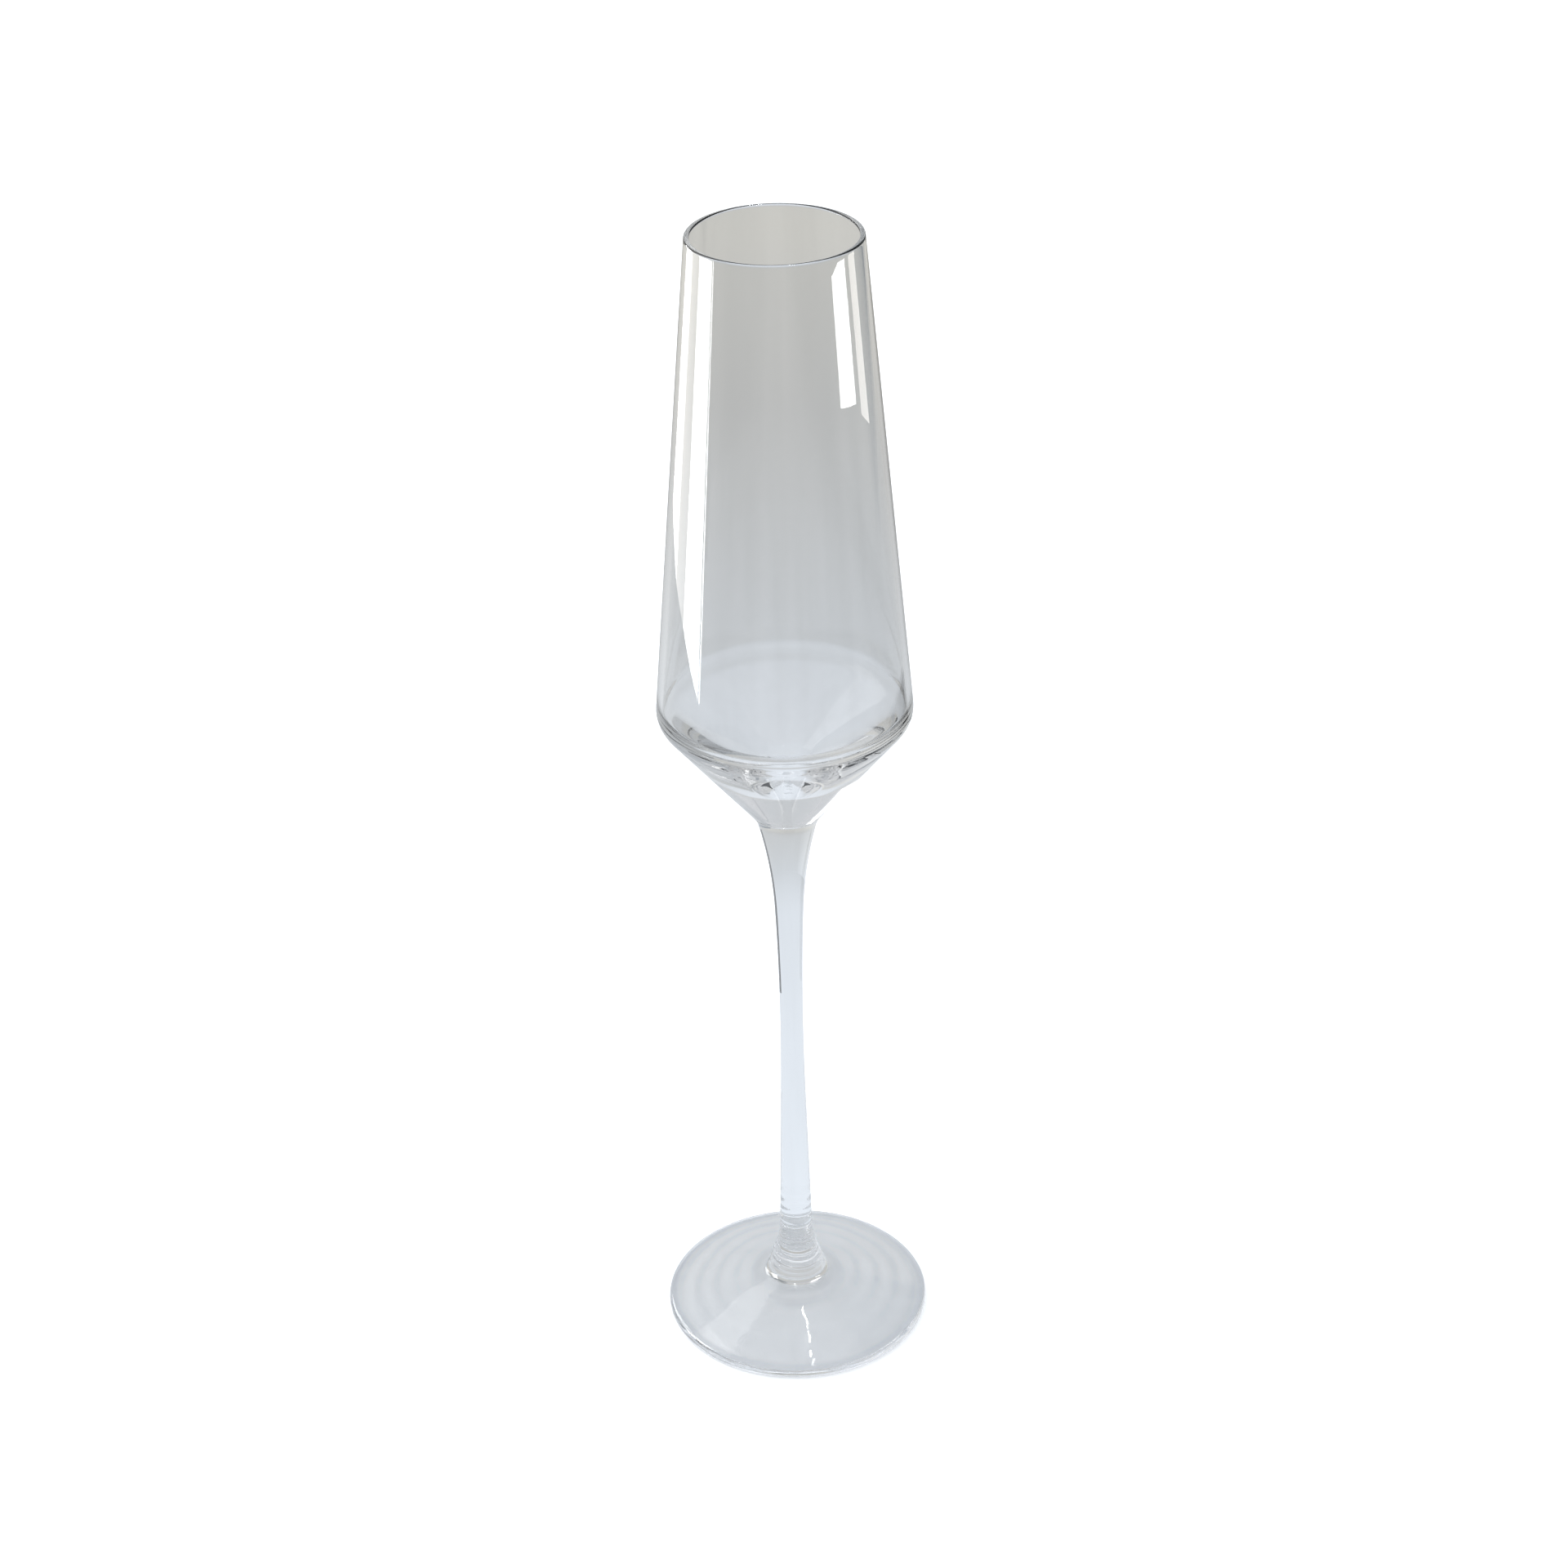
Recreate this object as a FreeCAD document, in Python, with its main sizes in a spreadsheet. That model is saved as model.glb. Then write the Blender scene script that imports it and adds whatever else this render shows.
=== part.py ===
# Champagne flute: a blown bowl, a drawn stem and a spun foot, fused end to end.
# Millimetres, +Z up, origin at the centre of the plane that the foot rests on.
import FreeCAD, Part
import math
import os
import Sketcher

# Driving dimensions: alias, value, what it is. Heights are above the resting plane.
DIMENSIONS = [
    ("total_height", 275.0, "resting plane to the top of the lip"),
    ("rim_radius", 18.7, "outside radius at the lip"),
    ("lip_inner_radius", 17.5, "inside radius at the lip"),
    ("lip_round", 0.55, "fire-polished rounding of each edge of the lip"),
    ("shoulder_radius", 28.65, "outside corner between the tall side and the lower cone"),
    ("shoulder_height", 164.0, "height of that corner"),
    ("shoulder_round", 4.8, "rounding of that corner"),
    ("belly_radius", 27.2, "inside corner between the side and the inner cone"),
    ("belly_height", 165.0, "height of the inside corner"),
    ("belly_round", 5.0, "rounding of the inside corner"),
    ("well_radius", 5.3, "flat bottom of the inner cone"),
    ("well_height", 152.0, "height of the bottom of the drink"),
    ("well_round", 6.0, "rounding where the inner cone meets the well"),
    ("neck_radius", 8.2, "joint between the bowl and the stem"),
    ("neck_height", 138.4, "height of that joint"),
    ("neck_round", 8.6, "tight hollow curve just under the neck joint"),
    ("throat_height", 135.15, "height where the tight curve ends"),
    ("flare_height", 113.1, "height where the long upper flare ends"),
    ("waist_radius", 2.7, "thinnest part of the stem"),
    ("waist_height", 83.0, "height of the thinnest part"),
    ("taper_height", 60.0, "height where the straight lower taper begins"),
    ("ankle_radius", 3.9, "joint between the stem and the foot"),
    ("ankle_height", 23.5, "height of that joint"),
    ("boss_radius", 4.0, "corner where the boss starts to widen"),
    ("boss_height", 19.4, "height of that corner"),
    ("boss_round", 20.0, "rounding of that corner"),
    ("root_radius", 7.2, "corner between the boss and the sloping disc"),
    ("root_height", 9.8, "height of that corner"),
    ("root_round", 2.2, "hollow rounding of that corner"),
    ("foot_radius", 31.4, "outside radius of the foot"),
    ("foot_edge", 2.7, "thickness of the foot at its edge"),
    ("foot_edge_round", 1.25, "rounding of that edge, above and below"),
    ("hollow_radius", 28.8, "domed hollow under the foot"),
    ("hollow_depth", 4.0, "depth of that hollow at the centre"),
]

# A circle is found on a solid by its radius and height to within this much.
NEAR = 1e-3

# In place of a size's name: a point on the axis of turning, or on the resting plane.
ON_AXIS = "axis"
ON_PLANE = "plane"

# The sketch's own horizontal and vertical axes, and its origin point.
HORIZONTAL_AXIS = -1
VERTICAL_AXIS = -2
ORIGIN = (-1, 1)

# The ends of a sketched edge, and the centre of an arc.
START, FINISH, CENTRE = 1, 2, 3

doc = FreeCAD.newDocument("champagne_flute")


def make_sheet():
    """The driving dimensions as named cells."""
    sheet = doc.addObject("Spreadsheet::Sheet", "sizes")
    for row, (alias, value, meaning) in enumerate(DIMENSIONS, start=1):
        sheet.set(f"A{row}", str(value))
        sheet.setAlias(f"A{row}", alias)
        sheet.set(f"B{row}", meaning)
    doc.recompute()
    return sheet


sizes = make_sheet()


def size(alias):
    return float(sizes.get(alias))


def point(radius_alias, height_alias):
    """A sketch point from the names of its two sizes."""
    across = 0.0 if radius_alias == ON_AXIS else size(radius_alias)
    height = 0.0 if height_alias == ON_PLANE else size(height_alias)
    return FreeCAD.Vector(across, height, 0)


def make_body(label):
    """A body with one empty sketch on its own XZ plane."""
    body = doc.addObject("PartDesign::Body", label)
    body.Label = label
    plane = next(feature for feature in body.Origin.OriginFeatures if feature.Role == "XZ_Plane")
    sketch = body.newObject("Sketcher::SketchObject", f"{label}_outline")
    sketch.AttachmentSupport = [(plane, "")]
    sketch.MapMode = "FlatFace"
    return body, sketch


def constrain(sketch, kind, *arguments):
    return sketch.addConstraint(Sketcher.Constraint(kind, *arguments))


def bind(sketch, alias, kind, *arguments):
    """Add a dimension whose value is the named cell."""
    index = constrain(sketch, kind, *arguments, size(alias))
    name = f"{alias}_{index}"
    sketch.renameConstraint(index, name)
    sketch.setExpression(f"Constraints.{name}", f"sizes.{alias}")


def pin_radius(sketch, edge, end, alias):
    if alias == ON_AXIS:
        constrain(sketch, "PointOnObject", edge, end, VERTICAL_AXIS)
    else:
        bind(sketch, alias, "DistanceX", *ORIGIN, edge, end)


def pin_height(sketch, edge, end, alias):
    if alias == ON_PLANE:
        constrain(sketch, "PointOnObject", edge, end, HORIZONTAL_AXIS)
    else:
        bind(sketch, alias, "DistanceY", *ORIGIN, edge, end)


def pin(sketch, edge, end, corner):
    """Hold one end of an edge at a corner, given as the names of its radius and height."""
    pin_radius(sketch, edge, end, corner[0])
    pin_height(sketch, edge, end, corner[1])


def join(sketch, first, first_end, second, second_end, kind="Coincident"):
    constrain(sketch, kind, first, first_end, second, second_end)


def add_chain(sketch, corners):
    """Straight edges from each corner to the next, held at every corner."""
    edges = []
    for start, finish in zip(corners, corners[1:]):
        edge = sketch.addGeometry(Part.LineSegment(point(*start), point(*finish)), False)
        if edges:
            join(sketch, edges[-1], FINISH, edge, START)
        pin(sketch, edge, START, start)
        edges.append(edge)
    pin(sketch, edges[-1], FINISH, corners[-1])
    return edges


def add_arc(sketch, start, tangent, finish):
    """An arc, less than half a circle, that leaves start along tangent and ends at finish.

    Returns the edge with the numbers of its ends at start and at finish.
    """
    chord = finish - start
    side = FreeCAD.Vector(-tangent.y, tangent.x, 0)
    radius = chord.dot(chord) / (2.0 * chord.dot(side))
    centre = start + side * radius
    circle = Part.Circle(centre, FreeCAD.Vector(0, 0, 1), abs(radius))
    start_angle = math.atan2(start.y - centre.y, start.x - centre.x)
    finish_angle = math.atan2(finish.y - centre.y, finish.x - centre.x)
    turn = (finish_angle - start_angle) % math.tau
    if turn < math.pi:
        arc = Part.ArcOfCircle(circle, start_angle, start_angle + turn)
        return sketch.addGeometry(arc, False), START, FINISH
    arc = Part.ArcOfCircle(circle, finish_angle, finish_angle + math.tau - turn)
    return sketch.addGeometry(arc, False), FINISH, START


def end_tangent(start, tangent, finish):
    """Direction at the end of an arc that leaves start along tangent."""
    chord = (finish - start).normalize()
    return chord * (2.0 * chord.dot(tangent)) - tangent


def revolve(body, sketch):
    turned = body.newObject("PartDesign::Revolution", f"{body.Label}_turned")
    turned.Profile = sketch
    turned.ReferenceAxis = (sketch, ["V_Axis"])
    turned.Angle = 360.0
    doc.recompute()


def circle_name(shape, radius, height):
    """Name of the circular edge of that radius at that height."""
    for index, edge in enumerate(shape.Edges, start=1):
        curve = edge.Curve
        if not isinstance(curve, Part.Circle):
            continue
        if abs(curve.Radius - radius) < NEAR and abs(curve.Center.z - height) < NEAR:
            return f"Edge{index}"
    raise ValueError(f"no circle of radius {radius} at height {height}")


def round_circle(body, radius_alias, height_alias, round_alias):
    """Round the edge that runs round the solid at that radius and height."""
    base = body.Tip
    corner = point(radius_alias, height_alias)
    fillet = body.newObject("PartDesign::Fillet", f"{body.Label}_{radius_alias}_{round_alias}")
    fillet.Base = (base, [circle_name(base.Shape, corner.x, corner.y)])
    fillet.setExpression("Radius", f"sizes.{round_alias}")
    doc.recompute()


def close_on_axis(sketch, last, first):
    """The edge along the axis from the end of the last edge to the start of the first."""
    start = sketch.getPoint(last, FINISH)
    finish = sketch.getPoint(first, START)
    axis = sketch.addGeometry(Part.LineSegment(start, finish), False)
    join(sketch, last, FINISH, axis, START)
    join(sketch, axis, FINISH, first, START)


def make_bowl():
    """Tall side, rounded shoulder and lower cone over a solid base with a small inner well."""
    body, sketch = make_body("bowl")
    edges = add_chain(sketch, [
        (ON_AXIS, "neck_height"),
        ("neck_radius", "neck_height"),
        ("shoulder_radius", "shoulder_height"),
        ("rim_radius", "total_height"),
        ("lip_inner_radius", "total_height"),
        ("belly_radius", "belly_height"),
        ("well_radius", "well_height"),
        (ON_AXIS, "well_height"),
    ])
    close_on_axis(sketch, edges[-1], edges[0])
    revolve(body, sketch)
    round_circle(body, "shoulder_radius", "shoulder_height", "shoulder_round")
    round_circle(body, "belly_radius", "belly_height", "belly_round")
    round_circle(body, "well_radius", "well_height", "well_round")
    round_circle(body, "rim_radius", "total_height", "lip_round")
    round_circle(body, "lip_inner_radius", "total_height", "lip_round")
    return body


def shaft_points():
    """The neck, throat, flare, waist and taper points of the shaft, and the slope at the neck.

    The throat, flare and taper are close first values, which the tangent edges then settle.
    """
    neck = point("neck_radius", "neck_height")
    waist = point("waist_radius", "waist_height")
    slope = (neck - point("shoulder_radius", "shoulder_height")).normalize()
    cone_angle = math.atan2(-slope.x, -slope.y)
    neck_round = size("neck_round")

    throat_drop = neck.y - size("throat_height")
    throat_angle = math.asin(math.sin(cone_angle) - throat_drop / neck_round)
    throat_inset = neck_round * (math.cos(throat_angle) - math.cos(cone_angle))
    throat = FreeCAD.Vector(neck.x - throat_inset, neck.y - throat_drop, 0)

    flare_drop = throat.y - size("flare_height")
    shaft_angle = (2.0 * (throat.x - waist.x) - flare_drop * throat_angle) / (throat.y - waist.y)
    flare_inset = flare_drop * math.tan(0.5 * (throat_angle + shaft_angle))
    flare = FreeCAD.Vector(throat.x - flare_inset, throat.y - flare_drop, 0)

    waist_drop = waist.y - size("taper_height")
    taper_drop = size("taper_height") - size("ankle_height")
    taper_gain = (size("ankle_radius") - waist.x) * waist_drop / (waist_drop + 2.0 * taper_drop)
    taper = FreeCAD.Vector(waist.x + taper_gain, waist.y - waist_drop, 0)
    return [neck, throat, flare, waist, taper], slope


def make_stem():
    """Drawn shaft: a tight curve under the neck, a long flare, a waist and a straight taper."""
    body, sketch = make_body("stem")
    points, slope = shaft_points()
    ankle = point("ankle_radius", "ankle_height")

    # The bowl's lower cone, as a construction line, gives the shaft its slope at the neck.
    shoulder = point("shoulder_radius", "shoulder_height")
    cone = sketch.addGeometry(Part.LineSegment(shoulder, points[0]), True)
    pin(sketch, cone, START, ("shoulder_radius", "shoulder_height"))
    pin(sketch, cone, FINISH, ("neck_radius", "neck_height"))

    arcs = []
    previous, previous_end = cone, FINISH
    tangent = slope
    for start, finish in zip(points, points[1:]):
        arc, first_end, last_end = add_arc(sketch, start, tangent, finish)
        join(sketch, previous, previous_end, arc, first_end, "Tangent")
        arcs.append((arc, last_end))
        previous, previous_end = arc, last_end
        tangent = end_tangent(start, tangent, finish)
    taper = sketch.addGeometry(Part.LineSegment(points[-1], ankle), False)
    join(sketch, previous, previous_end, taper, START, "Tangent")

    neck_arc, flare_arc, shaft_arc, waist_arc = arcs
    bind(sketch, "neck_round", "Radius", neck_arc[0])
    pin_height(sketch, *neck_arc, "throat_height")
    pin_height(sketch, *flare_arc, "flare_height")
    pin(sketch, *shaft_arc, ("waist_radius", "waist_height"))
    pin_height(sketch, *waist_arc, "taper_height")
    # The centre of this arc is level with the waist, so the shaft is upright there.
    constrain(sketch, "Horizontal", shaft_arc[0], CENTRE, *shaft_arc)

    foot_end = add_chain(sketch, [("ankle_radius", "ankle_height"), (ON_AXIS, "ankle_height")])
    join(sketch, taper, FINISH, foot_end[0], START)
    bowl_end = add_chain(sketch, [(ON_AXIS, "neck_height"), ("neck_radius", "neck_height")])
    close_on_axis(sketch, foot_end[0], bowl_end[0])
    revolve(body, sketch)
    return body


def make_foot():
    """Low cone with a rounded edge, a domed underside and a trumpet-shaped boss in the middle."""
    body, sketch = make_body("foot")
    edges = add_chain(sketch, [
        ("hollow_radius", ON_PLANE),
        ("foot_radius", ON_PLANE),
        ("foot_radius", "foot_edge"),
        ("root_radius", "root_height"),
        ("boss_radius", "boss_height"),
        ("ankle_radius", "ankle_height"),
        (ON_AXIS, "ankle_height"),
        (ON_AXIS, "hollow_depth"),
    ])
    crown = point(ON_AXIS, "hollow_depth")
    ring = point("hollow_radius", ON_PLANE)
    hollow, crown_end, ring_end = add_arc(sketch, crown, FreeCAD.Vector(1, 0, 0), ring)
    join(sketch, edges[-1], FINISH, hollow, crown_end)
    join(sketch, hollow, ring_end, edges[0], START)
    # The hollow is part of a sphere centred on the axis.
    constrain(sketch, "PointOnObject", hollow, CENTRE, VERTICAL_AXIS)
    revolve(body, sketch)
    round_circle(body, "root_radius", "root_height", "root_round")
    round_circle(body, "boss_radius", "boss_height", "boss_round")
    round_circle(body, "foot_radius", "foot_edge", "foot_edge_round")
    round_circle(body, "foot_radius", ON_PLANE, "foot_edge_round")
    return body


def check_document(bodies):
    """Stop before anything is written if a feature failed or a sketch is loose."""
    for item in doc.Objects:
        bad = [state for state in item.State if state in ("Invalid", "Error")]
        if bad:
            raise RuntimeError(f"{item.Label} is {bad}")
        if item.TypeId == "Sketcher::SketchObject" and not item.FullyConstrained:
            raise RuntimeError(f"{item.Label} isn't fully constrained")
    for body in bodies:
        shape = body.Shape
        if shape.isNull() or not shape.isValid() or len(shape.Solids) != 1:
            raise RuntimeError(f"{body.Label} has no sound solid")


def write_parts(bodies):
    os.makedirs("parts", exist_ok=True)
    for body in bodies:
        body.Shape.exportStep(f"parts/{body.Label}.step")
        print(f"{body.Label}: {body.Shape.Volume / 1000.0:.2f} cm3")


bodies = [make_bowl(), make_stem(), make_foot()]
doc.recompute()
check_document(bodies)
write_parts(bodies)
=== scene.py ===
import math
import random

import bpy
from mathutils import Matrix, Vector


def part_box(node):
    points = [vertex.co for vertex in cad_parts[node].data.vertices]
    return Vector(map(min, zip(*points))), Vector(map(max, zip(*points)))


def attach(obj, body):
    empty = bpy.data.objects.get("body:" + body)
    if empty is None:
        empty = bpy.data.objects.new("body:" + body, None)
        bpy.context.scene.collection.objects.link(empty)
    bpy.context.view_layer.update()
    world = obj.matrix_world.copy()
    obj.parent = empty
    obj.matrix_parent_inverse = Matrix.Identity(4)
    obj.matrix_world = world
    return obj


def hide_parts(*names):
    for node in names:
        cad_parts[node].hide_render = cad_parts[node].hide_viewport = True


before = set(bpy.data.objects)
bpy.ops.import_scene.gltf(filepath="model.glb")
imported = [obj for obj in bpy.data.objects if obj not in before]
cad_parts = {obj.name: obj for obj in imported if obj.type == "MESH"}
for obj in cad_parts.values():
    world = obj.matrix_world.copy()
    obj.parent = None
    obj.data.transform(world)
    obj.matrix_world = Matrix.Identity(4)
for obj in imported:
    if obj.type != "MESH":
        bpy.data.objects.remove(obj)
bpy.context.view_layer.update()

# ---------------------------------------------------------------------------
# Sizes, in metres. Heights are above the plane that the foot rests on.
# ---------------------------------------------------------------------------
MM = 0.001
bowl_low, bowl_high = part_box("bowl")
stem_low, stem_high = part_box("stem")
foot_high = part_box("foot")[1]

total_height = bowl_high.z
neck_height = bowl_low.z
neck_radius = stem_high.x
ankle_height = stem_low.z
foot_radius = foot_high.x

wall = 1.2 * MM
rim_radius = 18.7 * MM
lip_round = 0.55 * MM
shoulder = (28.65 * MM, 164.0 * MM, 4.8 * MM)
belly = (27.2 * MM, 165.0 * MM, 5.0 * MM)
well = (5.3 * MM, 152.0 * MM, 6.0 * MM)
neck_slope = math.radians(38.6)
neck_round = 8.6 * MM
throat_height = 135.15 * MM
flare_height = 113.1 * MM
waist_radius = 2.7 * MM
waist_height = 83.0 * MM
taper_height = 60.0 * MM
ankle_radius = 3.9 * MM
boss = (4.0 * MM, 19.4 * MM, 20.0 * MM)
root = (7.2 * MM, 9.8 * MM, 2.2 * MM)
foot_edge = 2.7 * MM
foot_edge_round = 1.25 * MM
hollow_radius = 28.8 * MM
hollow_depth = 4.0 * MM

JOINT_GAP = 0.01 * MM   # keeps the hidden faces of a fused joint apart
SEGMENTS = 240          # vertices round the axis
ROW_STEP = 0.8 * MM     # longest step along an outline
FINE_STEP = 0.3 * MM    # the same on the stem and foot, which have finer marks
ARC_STEP = math.radians(5)


# ---------------------------------------------------------------------------
# Outlines: lists of (radius, height) points
# ---------------------------------------------------------------------------
def straight(start, finish, step=ROW_STEP):
    """Points from start up to, and without, finish."""
    start, finish = Vector(start), Vector(finish)
    count = max(1, math.ceil((finish - start).length / step))
    return [start.lerp(finish, i / count) for i in range(count)]


def rounded_outline(corners, step=ROW_STEP):
    """Straight runs between corners (radius, height, round), each corner with its own arc."""
    points = []
    here = Vector(corners[0][:2])
    for (x0, z0, _), (x1, z1, radius), (x2, z2, _) in zip(corners, corners[1:], corners[2:]):
        corner = Vector((x1, z1))
        arriving = (corner - Vector((x0, z0))).normalized()
        leaving = (Vector((x2, z2)) - corner).normalized()
        turn = arriving.angle_signed(leaving)
        if radius == 0.0:
            points += straight(here, corner, step)
            here = corner
            continue
        reach = radius * math.tan(abs(turn) / 2)
        first = corner - arriving * reach
        points += straight(here, first, step)
        steps = max(2, math.ceil(abs(turn) / min(ARC_STEP, step / radius)))
        side = Vector((arriving.y, -arriving.x)) * math.copysign(1, turn)
        centre = first + side * radius
        spoke = first - centre
        for i in range(steps):
            angle = -turn * i / steps
            c, s = math.cos(angle), math.sin(angle)
            points.append(centre + Vector((spoke.x * c - spoke.y * s, spoke.x * s + spoke.y * c)))
        here = corner + leaving * reach
    points += straight(here, corners[-1][:2], step)
    points.append(Vector(corners[-1][:2]))
    return points


def smooth_run(knots):
    """A curve through knots (height, radius, slope), with the slope as radius per height."""
    points = []
    for (z0, r0, m0), (z1, r1, m1) in zip(knots, knots[1:]):
        span = z1 - z0
        count = max(2, math.ceil(abs(span) / FINE_STEP))
        for i in range(count):
            t = i / count
            radius = ((2 * t**3 - 3 * t**2 + 1) * r0 + (t**3 - 2 * t**2 + t) * span * m0
                      + (3 * t**2 - 2 * t**3) * r1 + (t**3 - t**2) * span * m1)
            points.append(Vector((radius, z0 + span * t)))
    points.append(Vector((knots[-1][1], knots[-1][0])))
    return points


def bowl_outline():
    """From the joint up the outside, over the lip and down the inside to the well."""
    return rounded_outline([
        (0.0, neck_height + JOINT_GAP, 0.0),
        (neck_radius, neck_height + JOINT_GAP, 0.0),
        shoulder,
        (rim_radius, total_height, lip_round),
        (rim_radius - wall, total_height, lip_round),
        belly,
        well,
        (0.0, well[1], 0.0),
    ])


def stem_outline():
    """From the joint with the foot up to the joint with the bowl."""
    throat_slope = math.asin(math.sin(neck_slope) - (neck_height - throat_height) / neck_round)
    inset = neck_round * (math.cos(throat_slope) - math.cos(neck_slope))
    throat_radius = neck_radius - inset
    flare_drop = throat_height - flare_height
    rise = throat_height - waist_height
    shaft_slope = (2 * (throat_radius - waist_radius) - flare_drop * throat_slope) / rise
    flare_radius = throat_radius - flare_drop * math.tan((throat_slope + shaft_slope) / 2)
    waist_drop = waist_height - taper_height
    taper_slope = (ankle_radius - waist_radius) / (taper_height - ankle_height + waist_drop / 2)
    taper_radius = waist_radius + taper_slope * waist_drop / 2
    run = smooth_run([
        (ankle_height + JOINT_GAP, ankle_radius, -taper_slope),
        (taper_height, taper_radius, -taper_slope),
        (waist_height, waist_radius, 0.0),
        (flare_height, flare_radius, math.tan(shaft_slope)),
        (throat_height, throat_radius, math.tan(throat_slope)),
        (neck_height - JOINT_GAP, neck_radius, math.tan(neck_slope)),
    ])
    lower = straight((0.0, run[0].y), run[0])
    upper = straight(run[-1], (0.0, run[-1].y))
    return lower + run + upper[1:] + [Vector((0.0, run[-1].y))]


def foot_outline():
    """From the middle of the underside, round the disc's edge and up the boss to the joint."""
    sphere = (hollow_radius**2 + hollow_depth**2) / (2 * hollow_depth)
    count = math.ceil(hollow_radius / ROW_STEP)
    hollow = []
    for i in range(count):
        radius = hollow_radius * i / count
        height = hollow_depth - sphere + math.sqrt(sphere**2 - radius**2)
        hollow.append(Vector((radius, height)))
    return hollow + rounded_outline([
        (hollow_radius, 0.0, 0.0),
        (foot_radius, 0.0, foot_edge_round),
        (foot_radius, foot_edge, foot_edge_round),
        root,
        boss,
        (ankle_radius, ankle_height - JOINT_GAP, 0.0),
        (0.0, ankle_height - JOINT_GAP, 0.0),
    ], FINE_STEP)


# ---------------------------------------------------------------------------
# Hand-worked glass: how far each surface stands off its outline, in metres
# ---------------------------------------------------------------------------
SIDE_STREAK = 0.014 * MM        # how far each kind of wave stands off the surface
INNER_SWIRL = 0.16 * MM
OUTER_SWIRL = 0.05 * MM
NECK_RING = 0.035 * MM
TOOL_MARK = 0.05 * MM
DRAWN_DRIFT = 0.012 * MM
GROOVE = 0.05 * MM
BOSS_RING = 0.08 * MM
DISC_RING = 0.018 * MM
DISC_RIPPLE = 0.045 * MM

NECK_RING_SPACING = 1.9 * MM    # from one ring to the next
TOOL_MARK_SPACING = 3.1 * MM
BOSS_RING_SPACING = 1.5 * MM
DISC_RING_SPACING = 4.6 * MM

chance = random.Random(11)


def make_waves(count, fewest, most):
    """Round-the-axis waves: (lobes, phase, share of the height that they twist by)."""
    return [(chance.randint(fewest, most), chance.uniform(0, math.tau), chance.uniform(-1, 1))
            for _ in range(count)]


def around(waves, angle, height, length):
    """The waves' mean at an angle, twisting slowly over the given length of height."""
    total = sum(math.sin(lobes * angle + phase + twist * math.tau * height / length)
                for lobes, phase, twist in waves)
    return total / len(waves)


def window(value, low, high, fade):
    """1 between low and high, falling smoothly to 0 over the fade on each side."""
    inside = min(value - low, high - value) / fade
    clipped = min(1.0, max(0.0, 0.5 + 0.5 * inside))
    return clipped * clipped * (3 - 2 * clipped)


streaks = make_waves(5, 5, 23)
swirls = make_waves(6, 2, 9)
drifts = make_waves(4, 1, 4)


def bowl_waves(radius, height, angle, inner):
    side = window(height, 176 * MM, 268 * MM, 8 * MM)
    stand = SIDE_STREAK * side * around(streaks, angle, height, 500 * MM)
    if inner:
        cone = window(height, 152.5 * MM, 164 * MM, 2 * MM)
        stand += INNER_SWIRL * cone * around(swirls, angle, height, 9 * MM)
    else:
        cone = window(height, 143 * MM, 162 * MM, 3 * MM)
        stand += OUTER_SWIRL * cone * around(swirls, angle, height, 14 * MM)
        stand += neck_waves(height, angle)
    return stand


def neck_waves(height, angle):
    """The seam where the bowl's gather was drawn out into the stem."""
    near = window(height, 136.6 * MM, 141.4 * MM, 1.2 * MM)
    rings = math.sin(math.tau * height / NECK_RING_SPACING + 1.5 * around(drifts, angle, 0.0, MM))
    return NECK_RING * near * rings * (0.6 + 0.4 * around(drifts, angle, 0.1, MM))


def ankle_waves(height, angle):
    """Tool marks where the stem was pressed on to the foot."""
    near = window(height, 18.5 * MM, 26 * MM, 1.5 * MM)
    rings = math.sin(math.tau * height / TOOL_MARK_SPACING + 1.2 * around(drifts, angle, 0.0, MM))
    return TOOL_MARK * near * rings


def stem_waves(radius, height, angle, inner):
    shaft = window(height, 32 * MM, 128 * MM, 6 * MM)
    drift = DRAWN_DRIFT * shaft * around(drifts, angle, height, 60 * MM)
    groove = -GROOVE * window(height, 28.4 * MM, 29.4 * MM, 0.9 * MM)
    return drift + groove + neck_waves(height, angle) + ankle_waves(height, angle)


def foot_waves(radius, height, angle, inner):
    if inner:
        return 0.0
    sway = around(drifts, angle, 0.0, MM)
    boss_rings = window(height, 12.0 * MM, 17.8 * MM, 0.9 * MM)
    stand = BOSS_RING * boss_rings * math.sin(math.tau * height / BOSS_RING_SPACING + 1.6 * sway)
    disc = window(radius, 11 * MM, 29 * MM, 2 * MM) * window(height, 2 * MM, 9 * MM, MM)
    stand += DISC_RING * disc * math.sin(math.tau * radius / DISC_RING_SPACING + 0.9 * sway)
    stand += DISC_RIPPLE * disc * around(streaks, angle, radius, 16 * MM)
    return stand + ankle_waves(height, angle)


# ---------------------------------------------------------------------------
# Meshes
# ---------------------------------------------------------------------------
ON_AXIS = 1e-7              # a ring smaller than this is one point
LEVEL = 0.999               # a face whose normal is this upright is level
UNDERSIDE = 1.5 * MM        # below this height everything belongs to the foot's underside


def outward(outline, i):
    """The direction away from the glass at a point of the outline."""
    before, after = outline[max(i - 1, 0)], outline[min(i + 1, len(outline) - 1)]
    along = (after - before).normalized()
    return Vector((along.y, -along.x))


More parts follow.
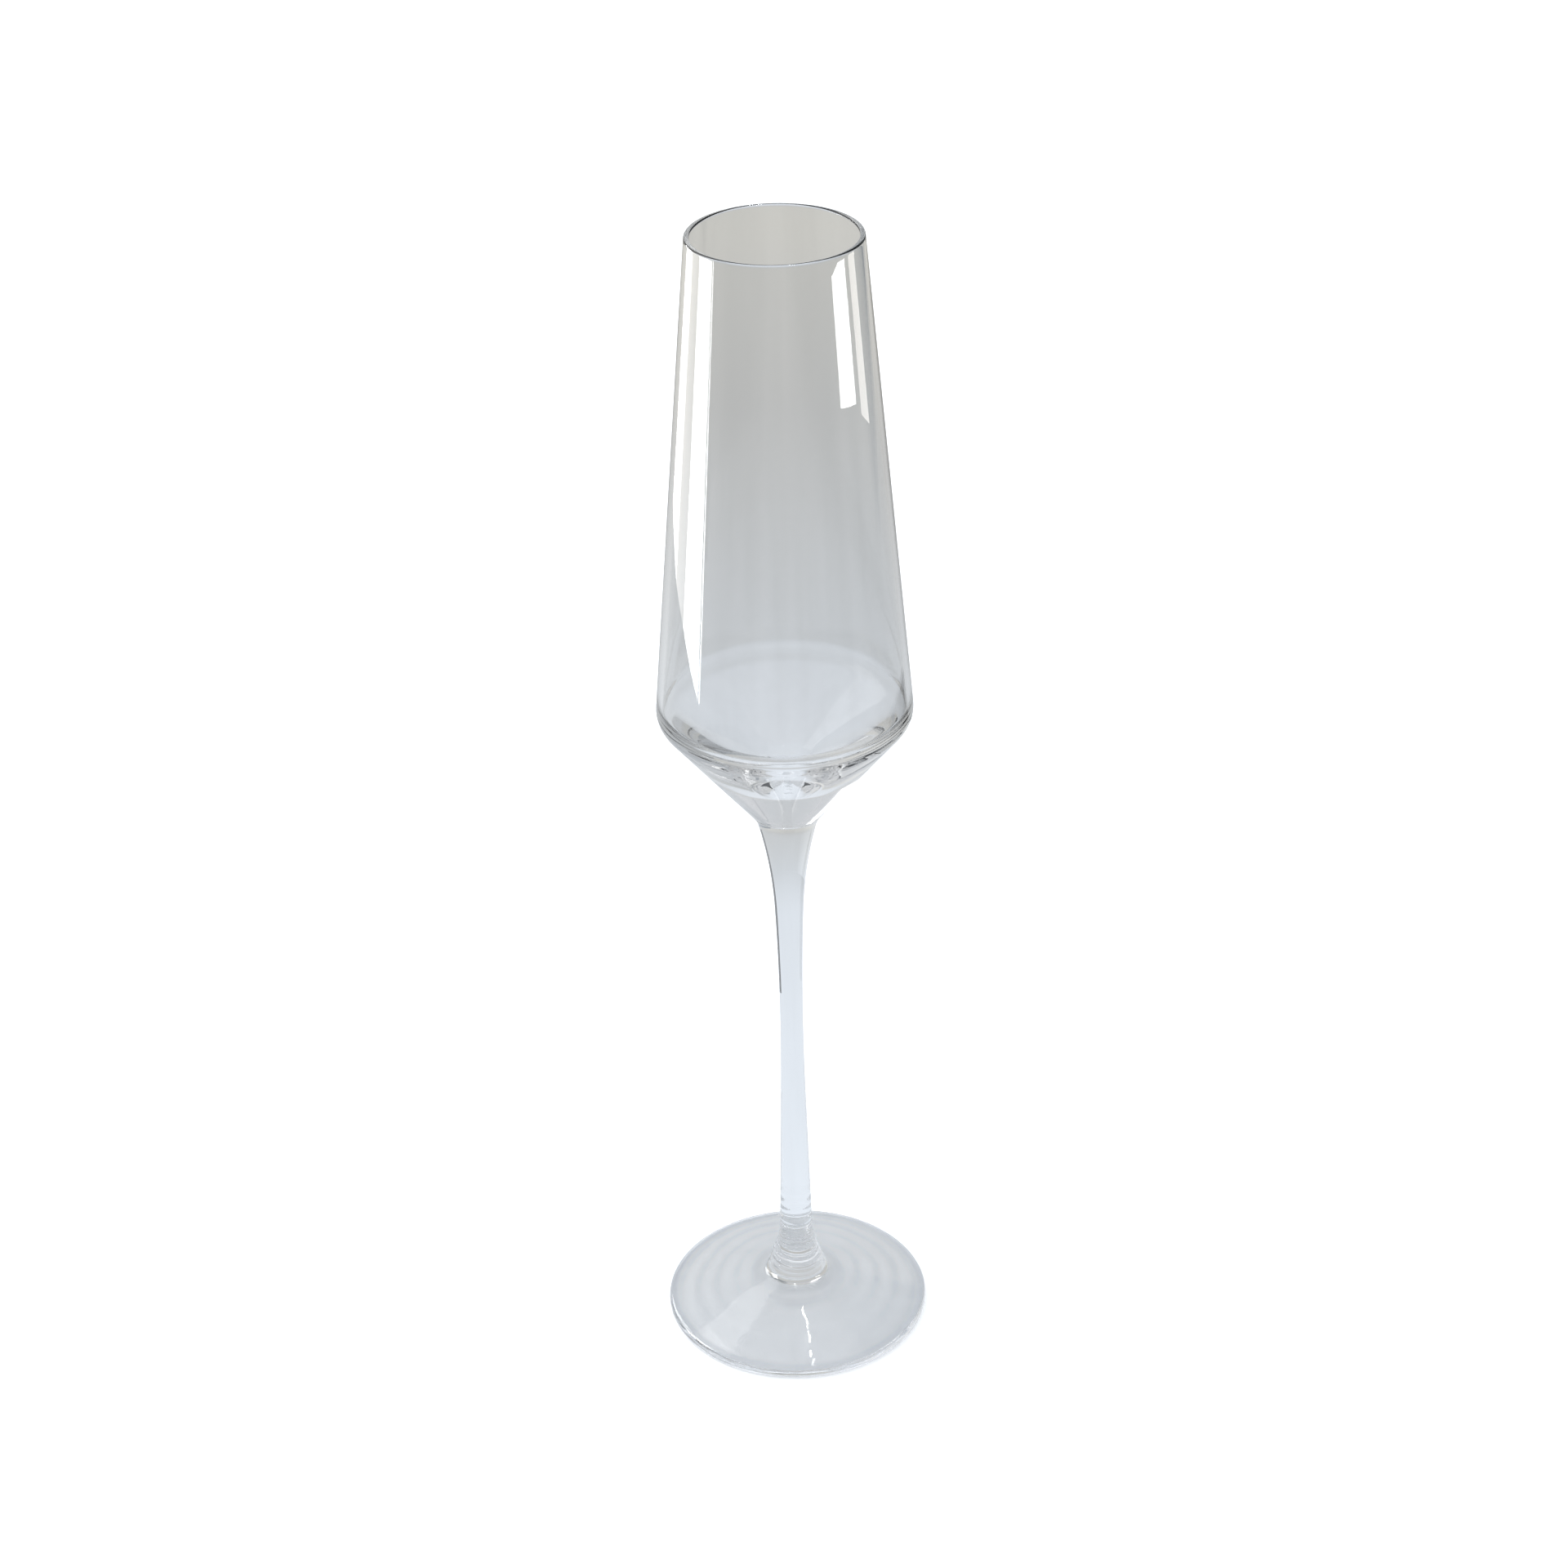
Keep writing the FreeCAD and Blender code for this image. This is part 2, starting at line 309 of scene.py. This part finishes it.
def turned(name, outline, joint_heights, materials, waves):
    """A closed surface of revolution. Flat faces at a joint height take the second material."""
    vertices, faces, joint_faces = [], [], []
    rings = []
    for row, (radius, height) in enumerate(outline):
        first = len(vertices)
        if radius < ON_AXIS:
            vertices.append((0.0, 0.0, height))
            rings.append([first] * SEGMENTS)
            continue
        away = outward(outline, row)
        inner = away.x < 0 or height < UNDERSIDE
        flat = abs(away.y) > LEVEL
        for i in range(SEGMENTS):
            angle = math.tau * i / SEGMENTS
            stand = 0.0 if flat else waves(radius, height, angle, inner)
            across, up = radius + stand * away.x, height + stand * away.y
            vertices.append((across * math.cos(angle), across * math.sin(angle), up))
        rings.append(list(range(first, first + SEGMENTS)))
    for (lower, upper), (a, b) in zip(zip(rings, rings[1:]), zip(outline, outline[1:])):
        at_joint = any(max(abs(a[1] - h), abs(b[1] - h)) < 2 * JOINT_GAP for h in joint_heights)
        for i in range(SEGMENTS):
            j = (i + 1) % SEGMENTS
            corners = [lower[i], lower[j], upper[j], upper[i]]
            face = list(dict.fromkeys(corners))
            faces.append(face)
            joint_faces.append(at_joint)
    mesh = bpy.data.meshes.new(name)
    mesh.from_pydata(vertices, [], faces)
    mesh.validate()
    for material in materials:
        mesh.materials.append(material)
    for polygon, at_joint in zip(mesh.polygons, joint_faces):
        polygon.use_smooth = not at_joint
        polygon.material_index = 1 if at_joint else 0
    piece = bpy.data.objects.new(name, mesh)
    bpy.context.scene.collection.objects.link(piece)
    return piece


# ---------------------------------------------------------------------------
# Materials
# ---------------------------------------------------------------------------
STREAK_DEPTH = 0.96         # tint of the thinnest streaks, as a share of the full tint
HAZE = 0.012                # roughness of the haziest spots
HAZE_WIDTH = 9 * MM
POLISH_DEPTH = 0.004 * MM   # height of the unevenness left by fire-polishing
POLISH_WIDTH = 3 * MM
POLISH_STRENGTH = 0.5
GLASS_IOR = 1.5
RING_SPACING = 4.8 * MM
WAVE_TURN = 20              # radians that the wave texture turns in one unit


def new_material(name):
    material = bpy.data.materials.new(name)
    material.use_nodes = True
    return material, material.node_tree.nodes, material.node_tree.links


def ramp_over(nodes, links, value, low, high, shades):
    """A colour that changes with a value: shades is a list of (value, colour)."""
    scale = nodes.new("ShaderNodeMapRange")
    scale.inputs["From Min"].default_value = low
    scale.inputs["From Max"].default_value = high
    links.new(value, scale.inputs["Value"])
    ramp = nodes.new("ShaderNodeValToRGB")
    stops = ramp.color_ramp.elements
    stops.remove(stops[1])
    stops[0].position = (shades[0][0] - low) / (high - low)
    stops[0].color = (*shades[0][1], 1.0)
    for position, shade in shades[1:]:
        stops.new((position - low) / (high - low)).color = (*shade, 1.0)
    links.new(scale.outputs["Result"], ramp.inputs["Fac"])
    return ramp.outputs["Color"]


def multiplied(nodes, links, first, second):
    both = nodes.new("ShaderNodeVectorMath")
    both.operation = "MULTIPLY"
    links.new(first, both.inputs[0])
    links.new(second, both.inputs[1])
    return both.outputs["Vector"]


def distance_from_axis(nodes, links, place):
    flat = nodes.new("ShaderNodeVectorMath")
    flat.operation = "MULTIPLY"
    flat.inputs[1].default_value = (1.0, 1.0, 0.0)
    links.new(place, flat.inputs[0])
    length = nodes.new("ShaderNodeVectorMath")
    length.operation = "LENGTH"
    links.new(flat.outputs["Vector"], length.inputs[0])
    return length.outputs["Value"]


def distance_along(nodes, links, place, direction):
    dot = nodes.new("ShaderNodeVectorMath")
    dot.operation = "DOT_PRODUCT"
    dot.inputs[1].default_value = direction
    links.new(place, dot.inputs[0])
    return dot.outputs["Value"]


def add_noise(nodes, links, place, scale, stretch):
    """Noise over the glass, with its grain drawn out along the axis by the stretch."""
    mapping = nodes.new("ShaderNodeMapping")
    mapping.inputs["Scale"].default_value = (1.0, 1.0, 1.0 / stretch)
    links.new(place, mapping.inputs["Vector"])
    noise = nodes.new("ShaderNodeTexNoise")
    noise.inputs["Scale"].default_value = scale
    noise.inputs["Detail"].default_value = 2.0
    links.new(mapping.outputs["Vector"], noise.inputs["Vector"])
    return noise.outputs["Fac"]


def make_glass(name, tint, streak_width, stretch):
    """Clear glass: faint streaks in its tint, a trace of haze and a slightly uneven polish."""
    material, nodes, links = new_material(name)
    shader = nodes["Principled BSDF"]
    shader.inputs["IOR"].default_value = GLASS_IOR
    shader.inputs["Transmission Weight"].default_value = 1.0
    place = nodes.new("ShaderNodeTexCoord").outputs["Object"]
    streak = add_noise(nodes, links, place, 1.0 / streak_width, stretch)
    thin = tuple(channel * STREAK_DEPTH for channel in tint)
    colour = ramp_over(nodes, links, streak, 0.0, 1.0, [(0.35, thin), (0.62, tint)])
    links.new(colour, shader.inputs["Base Color"])
    haze = nodes.new("ShaderNodeMapRange")
    haze.inputs["To Max"].default_value = HAZE
    links.new(add_noise(nodes, links, place, 1.0 / HAZE_WIDTH, 1.0), haze.inputs["Value"])
    links.new(haze.outputs["Result"], shader.inputs["Roughness"])
    polish = nodes.new("ShaderNodeBump")
    polish.inputs["Strength"].default_value = POLISH_STRENGTH
    polish.inputs["Distance"].default_value = POLISH_DEPTH
    links.new(add_noise(nodes, links, place, 1.0 / POLISH_WIDTH, stretch), polish.inputs["Height"])
    links.new(polish.outputs["Normal"], shader.inputs["Normal"])
    return material


def make_foot_glass(name, tint):
    """The foot's glass, with painted shade: darker rings standing in for the caustic and reflection bands
    of its spun waves, and darker round the boss and at the rim.
    """
    material = make_glass(name, tint, 5 * MM, 1.0)
    nodes, links = material.node_tree.nodes, material.node_tree.links
    shader = nodes["Principled BSDF"]
    colour = shader.inputs["Base Color"].links[0].from_socket
    place = nodes.new("ShaderNodeTexCoord").outputs["Object"]
    # Painted shade: darker rings in the tint stand in for the caustic and reflection bands of the foot's
    # spun waves.
    rings = nodes.new("ShaderNodeTexWave")
    rings.wave_type = "RINGS"
    rings.rings_direction = "Z"
    rings.inputs["Scale"].default_value = math.tau / WAVE_TURN / RING_SPACING
    rings.inputs["Distortion"].default_value = 2.2
    rings.inputs["Detail"].default_value = 1.0
    rings.inputs["Detail Scale"].default_value = 0.6
    links.new(place, rings.inputs["Vector"])
    pale = (1.0, 1.0, 1.0)
    painted_ring_shade = ramp_over(nodes, links, rings.outputs["Fac"], 0.0, 1.0, [
        (0.1, (0.92, 0.925, 0.93)), (0.7, pale)])
    radius = distance_from_axis(nodes, links, place)
    # Painted shade: the tint darkens towards the boss, where shade falls round the stem's base.
    painted_boss_shade = ramp_over(nodes, links, radius, 0.0, foot_radius, [
        (8 * MM, (0.90, 0.90, 0.90)), (13 * MM, pale)])
    # Painted shade: a dark ring at the rim stands in for dark surroundings seen in it by total internal
    # reflection.
    painted_rim_shade = ramp_over(nodes, links, radius, 0.0, foot_radius, [
        (29.2 * MM, pale), (30.0 * MM, (0.84, 0.85, 0.87))])
    for factor in (painted_ring_shade, painted_boss_shade, painted_rim_shade):
        colour = multiplied(nodes, links, colour, factor)
    links.new(colour, shader.inputs["Base Color"])
    return material


def make_fused_joint():
    """The hidden faces where two gathers are fused: light goes straight through."""
    material, nodes, _ = new_material("fused_joint")
    shader = nodes["Principled BSDF"]
    shader.inputs["Base Color"].default_value = (1.0, 1.0, 1.0, 1.0)
    shader.inputs["Roughness"].default_value = 0.0
    shader.inputs["IOR"].default_value = 1.0
    shader.inputs["Transmission Weight"].default_value = 1.0
    return material


# ---------------------------------------------------------------------------
# Pieces
# ---------------------------------------------------------------------------
fused = make_fused_joint()
bowl_material = make_glass("blown_glass", (0.93, 0.935, 0.94), 6 * MM, 30.0)
stem_material = make_glass("drawn_glass", (0.93, 0.945, 0.96), 3 * MM, 12.0)
foot_material = make_foot_glass("spun_glass", (0.99, 0.995, 1.0))
bowl = turned("flute_bowl", bowl_outline(), [neck_height], [bowl_material, fused], bowl_waves)
stem = turned("flute_stem", stem_outline(), [ankle_height, neck_height], [stem_material, fused], stem_waves)
foot = turned("flute_foot", foot_outline(), [ankle_height], [foot_material, fused], foot_waves)
for piece, node in ((bowl, "bowl"), (stem, "stem"), (foot, "foot")):
    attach(piece, "root")
    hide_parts(node)


# ---------------------------------------------------------------------------
# Stage
# ---------------------------------------------------------------------------
FLOOR_GAP = 0.1 * MM
TENT_RADIUS = 0.32
TENT_HEIGHT = 0.65
WINDOW_RADIANCE = 13.0
WINDOW_LEFT_TOP = 0.30
WINDOW_RIGHT_TOP = 0.205
UPPER_TOP = 0.60
SLIT_SIDES = (0.033, 0.040)     # of the slit overhead, along X
SLIT_ENDS = (0.10, 0.28)        # and along Y
SLIT_RADIANCE = 30.0
FLOOR_GLOW = 0.40


def make_floor():
    half = 12.0
    mesh = bpy.data.meshes.new("floor")
    corners = [(-half, -half, -FLOOR_GAP), (half, -half, -FLOOR_GAP),
               (half, half, -FLOOR_GAP), (-half, half, -FLOOR_GAP)]
    mesh.from_pydata(corners, [], [(0, 1, 2, 3)])
    floor = bpy.data.objects.new("floor", mesh)
    bpy.context.scene.collection.objects.link(floor)
    material, nodes, links = new_material("floor_paper")
    shader = nodes["Principled BSDF"]
    place = nodes.new("ShaderNodeTexCoord").outputs["Object"]
    fibre = add_noise(nodes, links, place, 1 / (60 * MM), 1.0)
    colour = ramp_over(nodes, links, fibre, 0.0, 1.0, [
        (0.3, (0.875, 0.89, 0.915)), (0.7, (0.885, 0.90, 0.925))])
    links.new(colour, shader.inputs["Base Color"])
    shader.inputs["Roughness"].default_value = 0.9
    shader.inputs["Specular IOR Level"].default_value = 0.1
    # Painted light: the floor glows, standing in for light that reaches it through the glass.
    shader.inputs["Emission Color"].default_value = (0.9, 0.95, 1.0, 1.0)
    shader.inputs["Emission Strength"].default_value = FLOOR_GLOW
    mesh.materials.append(material)


def make_world():
    world = bpy.data.worlds.new("studio")
    bpy.context.scene.world = world
    world.use_nodes = True
    background = world.node_tree.nodes["Background"]
    background.inputs["Color"].default_value = (1.0, 1.0, 1.0, 1.0)
    background.inputs["Strength"].default_value = 1.0


def on_tent(turn, height, radius):
    """A point of the tent: turn is in degrees from the camera's side, to the right."""
    angle = math.radians(turn)
    return (radius * math.sin(angle), -radius * math.cos(angle), height)


def hide_from_camera(item):
    item.visible_camera = False
    item.visible_diffuse = False
    item.visible_shadow = False
    item.visible_volume_scatter = False


def emitting(name, radiance, tint):
    material, nodes, links = new_material(name)
    nodes.remove(nodes["Principled BSDF"])
    emission = nodes.new("ShaderNodeEmission")
    emission.inputs["Color"].default_value = (*tint, 1.0)
    emission.inputs["Strength"].default_value = radiance
    links.new(emission.outputs["Emission"], nodes["Material Output"].inputs["Surface"])
    material.cycles.emission_sampling = "NONE"
    return material


def add_sheet(name, vertices, faces, radiance, tint):
    """A glowing sheet of the tent, seen only in the glass and through it."""
    mesh = bpy.data.meshes.new(name)
    mesh.from_pydata(vertices, [], faces)
    sheet = bpy.data.objects.new(name, mesh)
    bpy.context.scene.collection.objects.link(sheet)
    mesh.materials.append(emitting(name, radiance, tint))
    hide_from_camera(sheet)
    return sheet


def make_card(name, near_turn, far_turn, low_near, low_far, high, radiance, tint=(1, 1, 1),
              radius=TENT_RADIUS - 0.01):
    """A curved card of the light tent, between two turns, with a lower edge that may slant."""
    steps = max(2, math.ceil(abs(far_turn - near_turn) / 3))
    vertices, faces = [], []
    for i in range(steps + 1):
        t = i / steps
        turn = near_turn + (far_turn - near_turn) * t
        vertices.append(on_tent(turn, low_near + (low_far - low_near) * t, radius))
        vertices.append(on_tent(turn, high, radius))
    for i in range(steps):
        faces.append((2 * i, 2 * i + 2, 2 * i + 3, 2 * i + 1))
    return add_sheet(name, vertices, faces, radiance, tint)


def shade_tent(material):
    """Tone by height, as a pale room would show, brighter at the left and darker at the right."""
    nodes, links = material.node_tree.nodes, material.node_tree.links
    place = nodes.new("ShaderNodeNewGeometry").outputs["Position"]
    height = distance_along(nodes, links, place, (0.0, 0.0, 1.0))
    by_height = ramp_over(nodes, links, height, 0.0, TENT_HEIGHT, [
        (0.0, (0.67, 0.70, 0.73)), (0.10, (0.58, 0.58, 0.57)), (0.16, (0.64, 0.63, 0.59)),
        (0.34, (0.56, 0.58, 0.60)), (TENT_HEIGHT, (0.67, 0.67, 0.67))])
    across = distance_along(nodes, links, place, (0.94, -0.34, 0.0))
    by_side = ramp_over(nodes, links, across, -TENT_RADIUS, TENT_RADIUS, [
        (-0.31, (1.3, 1.3, 1.3)), (-0.20, (1.0, 1.0, 1.0)), (0.15, (1.0, 1.0, 1.0)),
        (0.31, (0.72, 0.74, 0.76))])
    tone = multiplied(nodes, links, by_height, by_side)
    links.new(tone, nodes["Emission"].inputs["Color"])


def make_tent():
    """A pale cylinder with a roof and a ground sheet, round the glass."""
    tent = make_card("tent", 0, 360, 0.0, 0.0, TENT_HEIGHT, 1.0, radius=TENT_RADIUS)
    shade_tent(tent.data.materials[0])
    steps = 90
    turns = [360 * i / steps for i in range(steps)]
    roof = [on_tent(turn, TENT_HEIGHT, TENT_RADIUS) for turn in turns]
    add_sheet("tent_roof", roof, [list(range(steps))], 1.0, (0.67, 0.67, 0.68))
    inner, outer = 1.06 * foot_radius, TENT_RADIUS
    ring = [on_tent(turn, 0.0, radius) for turn in turns for radius in (inner, outer)]
    faces = [(2 * i, 2 * i + 1, 2 * ((i + 1) % steps) + 1, 2 * ((i + 1) % steps)) for i in range(steps)]
    sheet = add_sheet("ground_sheet", ring, faces, 1.0, (1, 1, 1))
    material = sheet.data.materials[0]
    nodes, links = material.node_tree.nodes, material.node_tree.links
    place = nodes.new("ShaderNodeNewGeometry").outputs["Position"]
    radius = distance_from_axis(nodes, links, place)
    tone = ramp_over(nodes, links, radius, inner, outer, [
        (inner, (0.86, 0.91, 0.97)), (0.20, (0.79, 0.83, 0.88)), (outer, (0.67, 0.70, 0.73))])
    links.new(tone, nodes["Emission"].inputs["Color"])


def make_lights():
    make_tent()
    warm = (1.0, 0.97, 0.92)
    cool = (0.85, 0.93, 1.0)
    windows = [
        make_card("window_left_bar", -78.5, -80, 0.068, 0.068, WINDOW_LEFT_TOP, WINDOW_RADIANCE),
        make_card("window_left", -81, -104, 0.068, 0.080, WINDOW_LEFT_TOP, WINDOW_RADIANCE),
        make_card("window_left_curtain", -104, -120, 0.080, 0.085, WINDOW_LEFT_TOP, 3.5, warm),
        make_card("window_left_far", -120, -138, 0.085, 0.10, WINDOW_LEFT_TOP, 8.0),
        make_card("window_right", 70, 92, 0.165, 0.157, WINDOW_RIGHT_TOP, WINDOW_RADIANCE),
        make_card("window_right_curtain", 99, 112, 0.15, 0.14, WINDOW_RIGHT_TOP, 5.0, warm),
    ]
    for window_card in windows:
        window_card.visible_transmission = False    # a reflection only, never seen through the glass
    make_card("window_left_upper", -85, -150, 0.36, 0.36, UPPER_TOP, 2.0)
    make_card("room_right", 112, 158, 0.10, 0.20, UPPER_TOP, 0.30, cool)
    make_card("flag_right", 95, 130, 0.0, 0.0, 0.12, 0.10, radius=0.14)
    slit_height = TENT_HEIGHT - 0.02
    left, right = SLIT_SIDES
    near, far = SLIT_ENDS
    slit = [(left, near, slit_height), (right, near, slit_height),
            (right, far, slit_height), (left, far, slit_height)]
    add_sheet("slit_above", slit, [(0, 1, 2, 3)], SLIT_RADIANCE, (1, 1, 1))
    key = bpy.data.lights.new("key", "AREA")
    key.shape = "RECTANGLE"
    key.size, key.size_y = 1.2, 1.2
    key.energy = 9.0
    lamp = bpy.data.objects.new("key", key)
    lamp.location = (-0.9, 0.3, 1.2)
    lamp.rotation_euler = (Vector((0, 0, 0.1)) - lamp.location).to_track_quat("-Z", "Y").to_euler()
    lamp.visible_glossy = False
    lamp.visible_transmission = False
    bpy.context.scene.collection.objects.link(lamp)


def make_camera():
    """At the photograph's viewing angle: looking down on the flute, turned slightly on its axis."""
    back, height = 2.3118 * total_height, 1.8495 * total_height
    pitch, yaw, roll = math.radians(29.75), math.radians(-0.05), math.radians(-1.29)
    forward = Vector((math.sin(yaw) * math.cos(pitch), math.cos(yaw) * math.cos(pitch), -math.sin(pitch)))
    level = Vector((math.cos(yaw), -math.sin(yaw), 0.0))
    up = level.cross(forward)
    right = level * math.cos(roll) + up * math.sin(roll)
    top = up * math.cos(roll) - level * math.sin(roll)
    data = bpy.data.cameras.new("camera")
    data.sensor_width = 36.0
    data.lens = 74.96
    camera = bpy.data.objects.new("camera", data)
    axes = Matrix((right, top, -forward)).transposed()
    camera.matrix_world = Matrix.Translation((0.0, -back, height)) @ axes.to_4x4()
    bpy.context.scene.collection.objects.link(camera)
    bpy.context.scene.camera = camera


def set_light_paths():
    scene = bpy.context.scene
    scene.view_settings.view_transform = "Standard"
    cycles = scene.cycles
    cycles.max_bounces = 64
    cycles.transmission_bounces = 64
    cycles.glossy_bounces = 64
    cycles.diffuse_bounces = 3
    cycles.transparent_max_bounces = 24


make_floor()
make_world()
make_lights()
make_camera()
set_light_paths()
